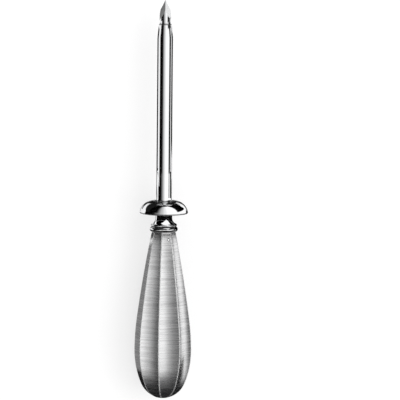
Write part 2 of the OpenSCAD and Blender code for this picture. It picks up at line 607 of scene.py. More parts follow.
    def seen_by(self, *rays: str) -> Feed:
        """One where a ray of one of the named kinds looks, and zero elsewhere."""
        path = self.add("ShaderNodeLightPath")
        return self.strongest(*(path.outputs[f"Is {ray} Ray"] for ray in rays))

    def place_group(self, tree: bpy.types.NodeTree, **values: Feed) -> bpy.types.Node:
        """Places a node group.

        Args:
            tree: The group.
            values: What its inputs are fed, each by the input's name in small letters.

        Returns:
            The group's node.
        """
        node = self.add("ShaderNodeGroup", node_tree=tree)
        for name, value in values.items():
            self.feed(node.inputs[name.capitalize()], value)
        return node

    def surface(self, shader: Feed, out: str = "ShaderNodeOutputMaterial") -> None:
        """Makes a shader the outcome of the nodes.

        Args:
            shader: The shader.
            out: The type of the output node.
        """
        self.feed(self.add(out).inputs["Surface"], shader)


def new_material(name: str) -> tuple[bpy.types.Material, Bench]:
    """Starts a material.

    Args:
        name: Its name.

    Returns:
        The material and the bench for its nodes.
    """
    material = bpy.data.materials.new(name)
    material.use_nodes = True
    return material, Bench(material.node_tree)


class SharedEffects:
    """The node groups that more than one finish uses, each built once."""

    def __init__(self) -> None:
        """Builds the groups."""
        self.where = self._where()
        self.turned_grain = self._turned_grain()
        self.smudges = self._smudges()
        self.grime_and_shade_band = self._grime_and_shade_band()

    @staticmethod
    def _group(
        name: str, inputs: dict[str, str], outputs: dict[str, str]
    ) -> tuple[Bench, bpy.types.Node, bpy.types.Node]:
        """Starts a group.

        Args:
            name: The group's name.
            inputs: Socket kind of each named input.
            outputs: Socket kind of each named output.

        Returns:
            The bench, and the group's input and output nodes.
        """
        tree = bpy.data.node_groups.new(name, "ShaderNodeTree")
        bench = Bench(tree)
        for way, sockets in (("INPUT", inputs), ("OUTPUT", outputs)):
            for title, kind in sockets.items():
                tree.interface.new_socket(name=title, in_out=way, socket_type=kind)
        return bench, bench.add("NodeGroupInput"), bench.add("NodeGroupOutput")

    def _where(self) -> bpy.types.NodeTree:
        """Where a point of the surface is on the instrument, in millimetres and degrees.

        Returns:
            The group, which gives the spot as a vector and its station, radius and turn.
        """
        bench, _, out = self._group("where_on_instrument", {}, {
            "Spot": VECTOR, "Station": NUMBER, "Radius": NUMBER, "Turn": NUMBER,
        })
        place = bench.add("ShaderNodeTexCoord").outputs["Object"]
        start = (0.0, -AT.butt_y / MM, -AT.axis_height / MM)
        unturned, to_mm = (0.0, 0.0, 0.0), (1 / MM, 1 / MM, 1 / MM)
        spot = bench.result("ShaderNodeMapping", (place, start, unturned, to_mm), vector_type="POINT")
        x, y, z = bench.split(spot)
        squares = bench.math("ADD", bench.math("MULTIPLY", x, x), bench.math("MULTIPLY", z, z))
        bench.feed(out.inputs["Spot"], spot)
        bench.feed(out.inputs["Station"], y)
        bench.feed(out.inputs["Radius"], bench.math("SQRT", squares))
        bench.feed(out.inputs["Turn"], bench.turn_at(x, z))
        return bench.tree

    def _turned_grain(self) -> bpy.types.NodeTree:
        """Fine rings left by the lathe or the wheel, uneven along the axis and long round it.

        Returns:
            The group, which takes the spot, the rings' spacing in millimetres and how soon they fade.
        """
        bench, given, out = self._group(
            "turned_grain", {"Spot": VECTOR, "Spacing": NUMBER, "Fade": NUMBER}, {"Grain": NUMBER}
        )
        fade = given.outputs["Fade"]
        fine = bench.math("DIVIDE", 1.0, given.outputs["Spacing"])
        spot = bench.stretch(given.outputs["Spot"], bench.combine(fade, fine, fade))
        bench.feed(out.inputs["Grain"], bench.noise(spot, scale=1.0, detail=3.0, rough=0.6))
        return bench.tree

    def _smudges(self) -> bpy.types.NodeTree:
        """Soft patches where hands have dulled the plate.

        Returns:
            The group, which takes the spot and the patches' size in millimetres.
        """
        bench, given, out = self._group("smudges", {"Spot": VECTOR, "Size": NUMBER}, {"Mask": NUMBER})
        scale = bench.math("DIVIDE", 1.0, given.outputs["Size"])
        spot = bench.stretch(given.outputs["Spot"], bench.combine(scale, scale, scale))
        clouds = bench.noise(spot, scale=1.0, detail=4.0, rough=0.6)
        bench.feed(out.inputs["Mask"], bench.span(clouds, low=0.42, high=0.72))
        return bench.tree

    def _grime_and_shade_band(self) -> bpy.types.NodeTree:
        """A soft band round the instrument where a joint is darkened by grime and by painted shade.

        Returns:
            The group, which takes a point's station and the band's own station and half width.
        """
        bench, given, out = self._group(
            "grime_and_shade_band", {"Station": NUMBER, "At": NUMBER, "Width": NUMBER}, {"Mask": NUMBER}
        )
        station, at, width = (given.outputs[name] for name in ("Station", "At", "Width"))
        away = bench.math("ABSOLUTE", bench.math("SUBTRACT", station, at))
        near = bench.math("SUBTRACT", 1.0, bench.math("DIVIDE", away, width), clamp=True)
        bench.feed(out.inputs["Mask"], bench.math("MULTIPLY", near, near))
        return bench.tree


class Finish:
    """What every finish of bare or plated metal shares.

    A finish's grain is the spacing of its rings in millimetres and how soon they fade, and its bump
    is a height in millimetres and the share of it that is used.
    """

    def __init__(self, name: str, effects: SharedEffects) -> None:
        """Starts a metal material with its shader and the place of each point.

        Args:
            name: The material's name.
            effects: The shared node groups.
        """
        self.material, self.bench = new_material(name)
        self.effects = effects
        self.shader = self.bench.add("ShaderNodeBsdfPrincipled")
        self.shader.inputs["Metallic"].default_value = 1.0
        self.bench.surface(self.shader.outputs[0])
        where = self.bench.place_group(effects.where)
        self.spot, self.station, self.radius, self.turn = (
            where.outputs[name] for name in ("Spot", "Station", "Radius", "Turn")
        )

    def grain(self, spacing: float, fade: float) -> bpy.types.NodeSocket:
        """The rings of the lathe.

        Args:
            spacing: Their spacing in millimetres.
            fade: How soon a ring fades as it goes round.

        Returns:
            Their height, from 0 to 1.
        """
        node = self.bench.place_group(
            self.effects.turned_grain, spot=self.spot, spacing=spacing, fade=fade
        )
        return node.outputs["Grain"]

    def smudge(self, size: float) -> bpy.types.NodeSocket:
        """The smudge mask at a size in millimetres."""
        return self.bench.place_group(self.effects.smudges, spot=self.spot, size=size).outputs["Mask"]

    def grime_and_shade_bands(self, bands: Pairs) -> Feed:
        """Several bands of grime and painted shade as one mask.

        Args:
            bands: Each band as its station and half width.

        Returns:
            The strongest of the bands at each point.
        """
        masks = (
            self.bench.place_group(self.effects.grime_and_shade_band, station=self.station, at=at, width=width)
            for at, width in bands
        )
        return self.bench.strongest(*(mask.outputs["Mask"] for mask in masks))

    def coat(self, colour: Feed, roughness: Feed) -> None:
        """Gives the metal its colour and roughness.

        Args:
            colour: The colour.
            roughness: The roughness.
        """
        self.bench.feed(self.shader.inputs["Base Color"], colour)
        self.bench.feed(self.shader.inputs["Roughness"], roughness)

    def bump(self, height: Feed, distance: float, strength: float) -> None:
        """Presses a height into the surface.

        Args:
            height: The height, from 0 to 1.
            distance: What a height of one stands for, in millimetres.
            strength: The share of it that is used.
        """
        node = self.bench.add("ShaderNodeBump")
        node.inputs["Strength"].default_value = strength
        node.inputs["Distance"].default_value = distance * MM
        self.bench.feed(node.inputs["Height"], height)
        self.bench.feed(self.shader.inputs["Normal"], node.outputs[0])


@dataclass(frozen=True)
class MirrorPlate:
    """Mirror-polished plate on the cannula, shield and neck, with grime and painted shade in bands."""

    name: str
    # Stations and half widths of the bands that grime and painted shade darken.
    bands: Pairs
    colour: Colour = (0.87, 0.875, 0.885)
    fingered: Colour = (0.80, 0.80, 0.80)
    # The colour of the grime and painted shade in the bands.
    tarnish_and_shade: Colour = (0.09, 0.09, 0.09)
    roughness: float = 0.045
    smudge_size: float = 9.0
    smudge_tone: float = 0.25
    smudge_roughness: float = 0.035
    grime_and_shade_size: float = 2.5
    grime_and_shade_least: float = 0.8
    grime_and_shade_roughness: float = 0.25
    grain: Pair = (0.25, 0.05)
    grain_roughness: float = 0.03
    grain_height: float = 0.012
    wave_scale: float = 0.22
    bump: Pair = (0.02, 0.5)

    def made(self, effects: SharedEffects) -> bpy.types.Material:
        """The finish as a material.

        Args:
            effects: The shared node groups.

        Returns:
            The material.
        """
        finish = Finish(self.name, effects)
        bench = finish.bench
        smudge, fine = finish.smudge(self.smudge_size), finish.grain(*self.grain)
        # Grime and painted shade in the bands, broken into patches.
        patches = bench.span(finish.smudge(self.grime_and_shade_size), 0.0, 1.0, (self.grime_and_shade_least, 1.0))
        grime_and_shade = bench.math("MULTIPLY", finish.grime_and_shade_bands(self.bands), patches)
        plate = bench.blend(bench.math("MULTIPLY", smudge, self.smudge_tone), self.colour, self.fingered)
        dimmed = bench.math("MULTIPLY_ADD", smudge, self.smudge_roughness, self.roughness)
        grained = bench.math("MULTIPLY_ADD", fine, self.grain_roughness, dimmed)
        rough = bench.math("MULTIPLY_ADD", grime_and_shade, self.grime_and_shade_roughness, grained, clamp=True)
        finish.coat(bench.blend(grime_and_shade, plate, self.tarnish_and_shade), rough)
        wave = bench.noise(finish.spot, scale=self.wave_scale, detail=1.0, rough=0.5)
        finish.bump(bench.math("MULTIPLY_ADD", fine, self.grain_height, wave), *self.bump)
        return finish.material


@dataclass(frozen=True)
class SatinPlate:
    """Satin plate of the fluted handle, brushed round it, brighter along the ridges from wear and a painted
    highlight.
    """

    name: str
    pitch: float
    mouth: float
    colour: Colour = (0.82, 0.82, 0.825)
    scored: Colour = (0.60, 0.60, 0.605)
    fingered: Colour = (0.70, 0.70, 0.70)
    # The ridges' colour: wear and a painted highlight.
    wear_and_highlight: Colour = (0.95, 0.95, 0.95)
    # The colour of the grime and painted shade at the handle's mouth.
    shade: Colour = (0.50, 0.50, 0.51)
    # Painted shade towards the butt: its colour, the stations over which it fades out, and its strongest
    # share.
    butt_shade: Colour = (0.34, 0.34, 0.345)
    butt_shade_along: Pair = (1.0, 11.0)
    butt_shade_most: float = 0.8
    roughness: float = 0.20
    fine: Pair = (0.30, 0.06)
    coarse: Pair = (1.0, 0.10)
    brushed_share: Pair = (0.8, 0.2)
    brushed_from: Pair = (0.40, 0.60)
    brushed_roughness: float = 0.14
    wear_and_highlight_across: Pair = (0.10, 0.38)
    wear_and_highlight_roughness: float = 0.30
    smudge_size: float = 11.0
    smudge_tone: float = 0.35
    grime_and_shade_width: float = 1.1
    grime_and_shade_tone: float = 0.7
    drawn_out: float = 0.55
    height_share: Pair = (0.35, 0.65)
    bump: Pair = (0.05, 0.45)

    def made(self, effects: SharedEffects) -> bpy.types.Material:
        """The finish as a material.

        Args:
            effects: The shared node groups.

        Returns:
            The material.
        """
        finish = Finish(self.name, effects)
        bench = finish.bench
        fine, coarse = finish.grain(*self.fine), finish.grain(*self.coarse)

        def both(shares: Pair) -> bpy.types.NodeSocket:
            """The fine and the coarse rings together, by their shares."""
            parts = (bench.math("MULTIPLY", rings, share) for rings, share in zip((fine, coarse), shares))
            return bench.math("ADD", *parts)

        # The ridges are brighter and rougher: wear there, with a painted highlight.
        turned = bench.math("MODULO", bench.math("ADD", finish.turn, 360.0), self.pitch)
        off_ridge = bench.math("ABSOLUTE", bench.math("SUBTRACT", turned, self.pitch / 2))
        reach = bench.math("MULTIPLY", bench.math("RADIANS", off_ridge), finish.radius)
        ridge = bench.span(reach, *self.wear_and_highlight_across, (1.0, 0.0))
        brushed = both(self.brushed_share)
        tone = bench.blend(bench.span(brushed, *self.brushed_from), self.scored, self.colour)
        smudge = bench.math("MULTIPLY", finish.smudge(self.smudge_size), self.smudge_tone)
        handled = bench.blend(smudge, tone, self.fingered)
        # Grime and painted shade darken the handle at its mouth, under the bead.
        grime_and_shade = bench.math("MULTIPLY", finish.grime_and_shade_bands(((self.mouth, self.grime_and_shade_width),)), self.grime_and_shade_tone)
        shaded_and_soiled = bench.blend(grime_and_shade, handled, self.shade)
        # Painted shade darkens the handle towards the butt.
        towards_butt = bench.span(finish.station, *self.butt_shade_along, (self.butt_shade_most, 0.0))
        dimmed = bench.blend(towards_butt, shaded_and_soiled, self.butt_shade)
        rough = bench.math("MULTIPLY_ADD", brushed, self.brushed_roughness, self.roughness)
        finish.coat(
            bench.blend(ridge, dimmed, self.wear_and_highlight),
            bench.math("MULTIPLY_ADD", ridge, self.wear_and_highlight_roughness, rough),
        )
        finish.shader.inputs["Anisotropic"].default_value = self.drawn_out
        along = bench.result(
            "ShaderNodeVectorTransform", (AXIS,),
            vector_type="VECTOR", convert_from="OBJECT", convert_to="WORLD",
        )
        bench.feed(finish.shader.inputs["Tangent"], along)
        finish.bump(both(self.height_share), *self.bump)
        return finish.material


@dataclass(frozen=True)
class GroundSteel:
    """Polished steel of the stylet and cross pin, with grime and painted shade at the cannula's mouth."""

    name: str
    # The band where grime and painted shade darken the stylet at the cannula's mouth.
    bands: Pairs = ((AT.cannula_end, 0.8),)
    colour: Colour = (0.82, 0.825, 0.835)
    fingered: Colour = (0.74, 0.74, 0.75)
    # The colour of the grime and painted shade in the band.
    tarnish_and_shade: Colour = (0.07, 0.07, 0.07)
    roughness: float = 0.07
    grain: Pair = (0.12, 0.10)
    grain_roughness: float = 0.06
    smudge_size: float = 3.0
    smudge_tone: float = 0.3
    smudge_roughness: float = 0.05
    bump: Pair = (0.004, 0.4)

    def made(self, effects: SharedEffects) -> bpy.types.Material:
        """The finish as a material.

        Args:
            effects: The shared node groups.

        Returns:
            The material.
        """
        finish = Finish(self.name, effects)
        bench = finish.bench
        fine, smudge = finish.grain(*self.grain), finish.smudge(self.smudge_size)
        steel = bench.blend(bench.math("MULTIPLY", smudge, self.smudge_tone), self.colour, self.fingered)
        grained = bench.math("MULTIPLY_ADD", fine, self.grain_roughness, self.roughness)
        # Grime and painted shade darken the band where the stylet leaves the cannula.
        finish.coat(
            bench.blend(finish.grime_and_shade_bands(self.bands), steel, self.tarnish_and_shade),
            bench.math("MULTIPLY_ADD", smudge, self.smudge_roughness, grained),
        )
        finish.bump(fine, *self.bump)
        return finish.material


@dataclass(frozen=True)
class WheelGroundSteel:
    """The three faces of the point, with the marks of the wheel running towards the tip."""

    name: str
    colour: Colour = (0.83, 0.835, 0.84)
    scored: Colour = (0.76, 0.765, 0.77)
    roughness: float = 0.10
    marks_drawn: Corner = (9.0, 0.35, 9.0)
    marks_from: Pair = (0.4, 0.65)
    marks_roughness: float = 0.10
    bump: Pair = (0.01, 0.35)

    def made(self, effects: SharedEffects) -> bpy.types.Material:
        """The finish as a material.

        Args:
            effects: The shared node groups.

        Returns:
            The material.
        """
        finish = Finish(self.name, effects)
        bench = finish.bench
        drawn = bench.stretch(finish.spot, self.marks_drawn)
        marks = bench.noise(drawn, scale=1.0, detail=3.0, rough=0.6)
        finish.coat(
            bench.blend(bench.span(marks, *self.marks_from), self.scored, self.colour),
            bench.math("MULTIPLY_ADD", marks, self.marks_roughness, self.roughness),
        )
        finish.bump(marks, *self.bump)
        return finish.material


class Finishes:
    """The materials of the instrument."""

    def __init__(self, effects: SharedEffects) -> None:
        """Makes each finish once.

        Args:
            effects: The shared node groups.
        """
        rim = AT.shield_top - Cannula.shield_h
        # Each plate's bands darken its joints with grime and painted shade.
        self.neck = MirrorPlate(
            "neck_mirror_plate", ((AT.bead_top, 0.6), (AT.mouth, 1.5), (AT.seat, 0.5))
        ).made(effects)
        # The shield's band at its rim paints a dark edge along the lip; its wide band by the tube is painted
        # shade and grime at the solder joint.
        self.shield = MirrorPlate(
            "shield_mirror_plate", ((AT.shield_top, 1.7), (rim - 0.2, 0.5))
        ).made(effects)
        # The hollow side under the shield is a rougher copy of the plate, and its darker colour is painted
        # shade.
        self.shaded_shield_inside = MirrorPlate(
            "shield_inside_plate", ((AT.seat, 1.0),), colour=(0.36, 0.36, 0.37), roughness=0.22
        ).made(effects)
        self.tube = MirrorPlate(
            "tube_mirror_plate", ((AT.shield_top, 0.5), (AT.cannula_end, 0.7)), roughness=0.04
        ).made(effects)
        self.handle = SatinPlate("handle_satin_plate", HandleShells.pitch, AT.mouth).made(effects)
        self.steel = GroundSteel("polished_steel").made(effects)
        self.ground = WheelGroundSteel("wheel_ground_steel").made(effects)


@dataclass
class HandleShells:
    """The hollow handle: eight flutes on a pear-shaped body, in two shells that meet on two ridges."""

    belly_r: float = 11.0
    belly_station: float = 18.3
    butt_r: float = 9.1
    flank_r: float = 95.0
    long_r: float = 500.0
    mouth_r: float = 4.6
    wall: float = 1.0
    flutes: int = 8
    pitch: float = 45.0
    flute_r: float = 14.0
    ridge_round: float = 0.13
    ridge_within: float = 0.3
    bevel_from_r: float = 3.2
    bevel_steps: int = 4
    columns: int = 16
    outer_steps: tuple[int, ...] = (18, 8, 10, 22)
    inner_steps: tuple[int, ...] = (14, 8, 6, 10)
    seam_turn: float = 67.5
    sharp_from: float = 30.0

    def __post_init__(self) -> None:
        """Works out the arcs of the ridge line, each tangent to the next."""
        rise = self.belly_station - self.butt_r
        shoulder_r = (self.belly_r ** 2 + rise ** 2 - self.butt_r ** 2) / (2 * (self.belly_r - self.butt_r))
        self.butt_c: Place = (0.0, self.butt_r)
        self.shoulder_c: Place = (self.belly_r - shoulder_r, self.belly_station)
        self.flank_c: Place = (self.belly_r - self.flank_r, self.belly_station)
        mouth: Place = (self.mouth_r, AT.mouth)
        reach = math.dist(mouth, self.flank_c)
        apart = self.long_r - self.flank_r
        side = math.degrees(math.acos((apart ** 2 + reach ** 2 - self.long_r ** 2) / (2 * apart * reach)))
        self.shoulder_a = bearing(self.shoulder_c, self.butt_c)
        self.flank_a = bearing(self.flank_c, mouth) + side - 180
        self.long_c: Place = polar(self.flank_c, -apart, self.flank_a)

    def mouth_a(self, set_in: float) -> float:
        """The angle at which the long arc, set in from the skin, reaches the mouth."""
        return math.degrees(math.asin((AT.mouth - self.long_c[1]) / (self.long_r - set_in)))

    def ridge_r(self, station: float, set_in: float) -> float:
        """The ridge's radius at a station on the long arc, set in from the skin."""
        return self.long_c[0] + math.sqrt((self.long_r - set_in) ** 2 - (station - self.long_c[1]) ** 2)

    def flute_r_at(self, station: float, set_in: float) -> float:
        """The radius at the middle of a flute, at a station on the long arc."""
        return self.pressed(self.ridge_r(station, set_in), 0.0)[1]

    def pressed(self, ridge_r: float, share: float) -> Place:
        """Where a point goes when its flute is pressed.

        Args:
            ridge_r: The ridge's radius at the point's station.
            share: Place across the flute, from -1 to 1.

        Returns:
            Distance to the side of the flute's middle plane, and distance out along it.
        """
        half_turn = math.radians(self.pitch / 2)
        half = ridge_r * math.sin(half_turn)
        depth = math.sqrt(self.flute_r ** 2 - (share * half) ** 2) - math.sqrt(self.flute_r ** 2 - half ** 2)
        return share * half, ridge_r * math.cos(half_turn) - depth

    def body(self) -> bpy.types.Object:
        """Turns the smooth hollow body, its outer and inner skin joined at the mouth.

        Returns:
            The body.
        """
        inner_a = self.mouth_a(self.wall)
        outer = (
            (self.butt_c, self.shoulder_a + 90),
            (self.shoulder_c, -self.shoulder_a),
            (self.flank_c, self.flank_a),
            (self.long_c, self.mouth_a(0.0) - self.flank_a),
        )
        inner = (
            (self.long_c, self.flank_a - inner_a),
            (self.flank_c, -self.flank_a),
            (self.shoulder_c, self.shoulder_a),
            (self.butt_c, -90 - self.shoulder_a),
        )
        profile = Profile("handle_body", (0.0, 0.0), self.pitch / 2)
        for (centre, sweep), steps in zip(outer, self.outer_steps):
            profile.arc(centre, sweep, steps)
        profile.line_to(polar(self.long_c, self.long_r - self.wall, inner_a))
        for (centre, sweep), steps in zip(inner, self.inner_steps):
            profile.arc(centre, sweep, steps)
        return profile.turned(self.flutes * self.columns)

    def press_flutes(self, body: bpy.types.Object) -> None:
        """Presses the eight flutes into both skins of the body.

        Args:
            body: The smooth body.
        """
        for vertex in body.data.vertices:
            radius, station, turn = AT.read(vertex.co)
            if radius < ON_AXIS:
                continue
            middle = round(turn / self.pitch) * self.pitch
            side, out = self.pressed(radius, (turn - middle) / (self.pitch / 2))
            spot = outwards(middle) * out + outwards(middle + 90) * side
            vertex.co = AT.place(0.0, station) + spot * MM
        body.data.update()

    def is_ridge(self, edge: bmesh.types.BMEdge) -> bool:
        """Picks the edges of the outer ridges.

        Args:
            edge: An edge of the fluted body.

        Returns:
            Whether it runs along a ridge of the outer skin, away from the butt's middle.
        """
        reads = [AT.read(vertex.co) for vertex in edge.verts]
        offs = [(turn - self.pitch / 2) % self.pitch for _, _, turn in reads]
        if any(min(off, self.pitch - off) >= self.ridge_within for off in offs):
            return False
        middle = AT.place(0.0, self.belly_station)
        outside = all(vertex.normal.dot(vertex.co - middle) > 0 for vertex in edge.verts)
        runs_along = abs(reads[0][1] - reads[1][1]) > SHORTEST_EDGE
        return outside and runs_along and min(radius for radius, _, _ in reads) > self.bevel_from_r

    def round_ridges(self, body: bpy.types.Object) -> None:
        """Rounds the outer ridges, from near the butt to the mouth.

        Args:
            body: The fluted body.
        """
        make_active(body)
        bpy.ops.object.mode_set(mode="EDIT")
        bpy.ops.mesh.select_mode(type="EDGE")
        bpy.ops.mesh.select_all(action="DESELECT")
        mesh = bmesh.from_edit_mesh(body.data)
        for edge in mesh.edges:
            edge.select_set(self.is_ridge(edge))
        bmesh.update_edit_mesh(body.data)
        bpy.ops.mesh.bevel(
            offset_type="OFFSET", offset=self.ridge_round * MM, segments=self.bevel_steps,
            profile=0.5, affect="EDGES",
        )
        bpy.ops.mesh.select_mode(type="VERT")
        bpy.ops.object.mode_set(mode="OBJECT")

    def half(self, body: bpy.types.Object, name: str, kept_turn: float) -> bpy.types.Object:
        """Cuts one shell out of a copy of the body.

        Args:
            body: The whole body.
            name: The shell's name.
            kept_turn: The turn at the middle of the shell.

        Returns:
            The shell, closed along its two seams.
        """
        make_active(body)
        bpy.ops.object.duplicate()
        shell = bpy.context.object
        name_piece(shell, name)
        bpy.ops.object.mode_set(mode="EDIT")
        bpy.ops.mesh.select_all(action="SELECT")
        bpy.ops.mesh.bisect(
            plane_co=AT.place(0.0, 0.0), plane_no=outwards(kept_turn),
            use_fill=True, clear_inner=True, threshold=CUT_WITHIN,
        )
        bpy.ops.object.mode_set(mode="OBJECT")
        smooth(shell, self.sharp_from)
        return shell

    def make(self, pin: "CrossPin", finishes: Finishes) -> list[Made]:
        """Makes the two shells.

        Args:
            pin: The pin whose hole goes through both.
            finishes: The instrument's materials.

        Returns:
            The front and the back shell.
        """
        body = self.body()
        self.press_flutes(body)
        self.round_ridges(body)
        cut_away(body, pin.drill())
        front = self.half(body, "handle_shell_front_fluted", self.seam_turn - 90)
        back = self.half(body, "handle_shell_back_fluted", self.seam_turn + 90)
        bpy.data.objects.remove(body)
        for shell in (front, back):
            dress(shell, finishes.handle)
        return [
            Made(front, Body.HANDLE, Slot.HANDLE_SATIN, "handle_shell_front"),
            Made(back, Body.HANDLE, Slot.HANDLE_SATIN, "handle_shell_back"),
        ]


@dataclass
class CrossPin:
    """The pin that locks the tang, the spigot and both shells.

    Each of its round steps insets the end further and lifts it by a share of one step's rise.
    """

    from_mouth: float = 2.7
    turn: float = 9.5
    radius: float = 0.6
    round_up: float = 0.2
    round_steps: Pairs = ((0.08, 1.0), (0.14, 0.8), (0.16, 0.5))
    fit: float = 0.02
    drill_l: float = 24.0
    sides: int = 48
    sharp_from: float = 50.0

    def bar(self, name: str, radius: float, length: float) -> bpy.types.Object:
        """A round bar across the axis where the pin goes.

        Args:
            name: Its name.
            radius: Its radius in millimetres.
            length: Its length in millimetres.

        Returns:
            The bar.
        """
        centre = AT.place(0.0, AT.mouth - self.from_mouth)
        return rod(name, radius, length, centre, outwards(self.turn), self.sides)

    def drill(self) -> bpy.types.Object:
        """The drill for the pin's hole."""
        return self.bar("drill", self.radius + self.fit, self.drill_l)

    def make(self, shells: HandleShells, finishes: Finishes) -> list[Made]:
        """Makes the pin, its ends rounded over.

        Args:
            shells: The handle that it goes through.
            finishes: The instrument's materials.

        Returns:
            The pin.
        """
        flush = shells.flute_r_at(AT.mouth - self.from_mouth, 0.0)
        pin = self.bar("cross_pin_domed", self.radius, 2 * flush)
        bpy.ops.object.mode_set(mode="EDIT")
        rise = self.round_up / len(self.round_steps)
        for way in (1, -1):
            out = outwards(self.turn) * way
            for inset, lift in self.round_steps:
                self.pick_end(pin, out)
                bpy.ops.mesh.inset(thickness=inset * MM, depth=0.0)
                bpy.ops.transform.translate(value=out * rise * lift * MM)
        bpy.ops.object.mode_set(mode="OBJECT")
        smooth(pin, self.sharp_from)
        dress(pin, finishes.steel)
        return [Made(pin, Body.HANDLE, Slot.STEEL, "cross_pin")]

    @staticmethod
    def pick_end(pin: bpy.types.Object, out: Vector) -> None:
        """Selects the pin's cap on one end.

        Args:
            pin: The pin, in edit mode.
            out: The direction of that end.
        """
        def reach(face: bmesh.types.BMFace) -> Pair:
            """How far out a face lies, and how squarely it looks that way."""
            return round(face.calc_center_median().dot(out), LEVEL_DIGITS), face.normal.dot(out)

        bpy.ops.mesh.select_mode(type="FACE")
        bpy.ops.mesh.select_all(action="DESELECT")
        mesh = bmesh.from_edit_mesh(pin.data)
        max(mesh.faces, key=reach).select_set(True)
        bmesh.update_edit_mesh(pin.data)


@dataclass
class Neck:
    """The bead ring over the handle's mouth, and the turned bolster that carries the stylet."""

    bead_r: float = 1.0
    bead_over_r: float = 5.35
    rim_r: float = 5.0
    rim_h: float = 1.1
    waist_r: float = 3.2
    hollow_r: float = 2.5
    socket_r: float = 2.17
    socket_l: float = 5.0
    tang_hole_r: float = 1.52
    lead: float = 0.3
    fit: float = 0.02
    edge: float = 0.12
    edge_band: float = 0.6
    rim_steps: int = 20
    arc_steps: int = 24
    sharp_from: float = 32.0

    def bead(self, spigot_r: float) -> bpy.types.Object:
        """Turns the bead ring.

        Args:
            spigot_r: Radius of the spigot that it fits over.

        Returns:
            The ring.
        """
        bore = spigot_r + self.fit
        centre: Place = (self.bead_over_r - self.bead_r, AT.mouth + self.bead_r)
        profile = Profile("bead_ring_turned", (bore, AT.mouth))
        profile.line_to((centre[0], AT.mouth)).arc(centre, 180, self.arc_steps)
        return profile.line_to((bore, AT.bead_top)).close().turned()

    def bolster(self, spigot_r: float) -> bpy.types.Object:
        """Turns the bolster with its spigot, rim, hollow and waist, and bores it.

        Args:
            spigot_r: Radius of its spigot.

        Returns:
            The bolster.
        """
        edge_r = self.rim_h / 2
        edge_c: Place = (self.rim_r - edge_r, AT.bead_top + edge_r)
        hollow_x = self.waist_r + self.hollow_r
        hollow_a = math.degrees(math.acos((hollow_x - edge_c[0]) / self.hollow_r))
        hollow_c: Place = (
            hollow_x, AT.bead_top + self.rim_h + self.hollow_r * math.sin(math.radians(hollow_a))
        )
        socket_end = AT.seat - self.socket_l
        profile = Profile("neck_bolster_turned", (self.tang_hole_r, AT.spigot_end))
        profile.line_to((spigot_r - self.lead, AT.spigot_end), (spigot_r, AT.spigot_end + self.lead))
        profile.line_to((spigot_r, AT.bead_top), (edge_c[0], AT.bead_top))
        profile.arc(edge_c, 180, self.rim_steps)
        profile.arc(hollow_c, -hollow_a, self.arc_steps)
        profile.line_to((self.waist_r, AT.seat - self.edge_band), (self.waist_r, AT.seat - self.edge))
        profile.arc((self.waist_r - self.edge, AT.seat - self.edge), 90, EDGE_STEPS)
        profile.line_to((self.socket_r, AT.seat), (self.socket_r, socket_end))
        return profile.line_to((self.tang_hole_r, socket_end)).close().turned()

    def make(self, shells: HandleShells, pin: CrossPin, finishes: Finishes) -> list[Made]:
        """Makes the bead ring and the bolster.

        Args:
            shells: The handle whose mouth they fit.
            pin: The pin whose hole goes through the spigot.
            finishes: The instrument's materials.

        Returns:
            The two pieces.
        """
        spigot_r = shells.flute_r_at(AT.mouth, shells.wall) - self.fit
        bead, bolster = self.bead(spigot_r), self.bolster(spigot_r)
        cut_away(bolster, pin.drill())
        for piece in (bead, bolster):
            smooth(piece, self.sharp_from)
            dress(piece, finishes.neck)
        return [
            Made(bead, Body.HANDLE, Slot.POLISHED, "bead_ring"),
            Made(bolster, Body.HANDLE, Slot.POLISHED, "neck_bolster"),
        ]


